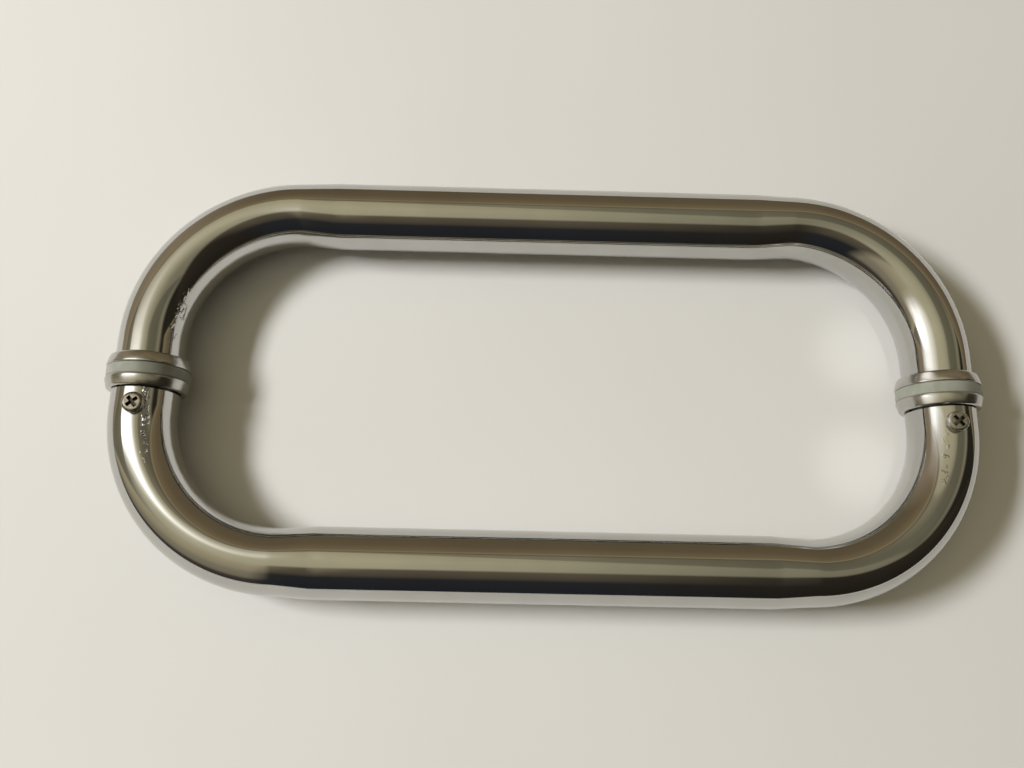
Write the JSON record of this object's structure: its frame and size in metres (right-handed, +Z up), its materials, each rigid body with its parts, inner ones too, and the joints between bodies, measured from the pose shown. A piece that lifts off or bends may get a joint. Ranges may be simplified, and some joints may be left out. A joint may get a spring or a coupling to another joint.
{
  "type": "shower door handle",
  "caption": "Back-to-back pull handle for a glass shower door: two bent polished tubes joined through washers and soft gaskets at a left and a right post.",
  "frame": {"origin": "on the surface that the handle lies on, under the middle of its bounding box, midway between the posts on the glass plane", "axes": "+X along the grip bars towards the right post, +Y along the posts towards the upper tube, +Z up from the surface"},
  "size_m": [0.242, 0.118, 0.0232],
  "materials": {
    "polished_tube": "mirror-polished stainless steel",
    "polished_ring": "polished stainless steel",
    "grey_gasket": "matt translucent grey plastic",
    "plated_screw": "bright plated steel, a little dulled",
    "machined_steel": "turned steel"
  },
  "bodies": {
    "root": {"upper_tube": "polished_tube", "lower_tube": "polished_tube", "left_upper_washer": "polished_ring", "left_upper_gasket": "grey_gasket", "left_lower_washer": "polished_ring", "left_lower_gasket": "grey_gasket", "left_tapped_plug": "machined_steel", "left_stud": "machined_steel", "left_screw_boss": "machined_steel", "left_retaining_screw": "plated_screw", "right_upper_washer": "polished_ring", "right_upper_gasket": "grey_gasket", "right_lower_washer": "polished_ring", "right_lower_gasket": "grey_gasket", "right_tapped_plug": "machined_steel", "right_stud": "machined_steel", "right_screw_boss": "machined_steel", "right_retaining_screw": "plated_screw"}
  },
  "joints": []
}
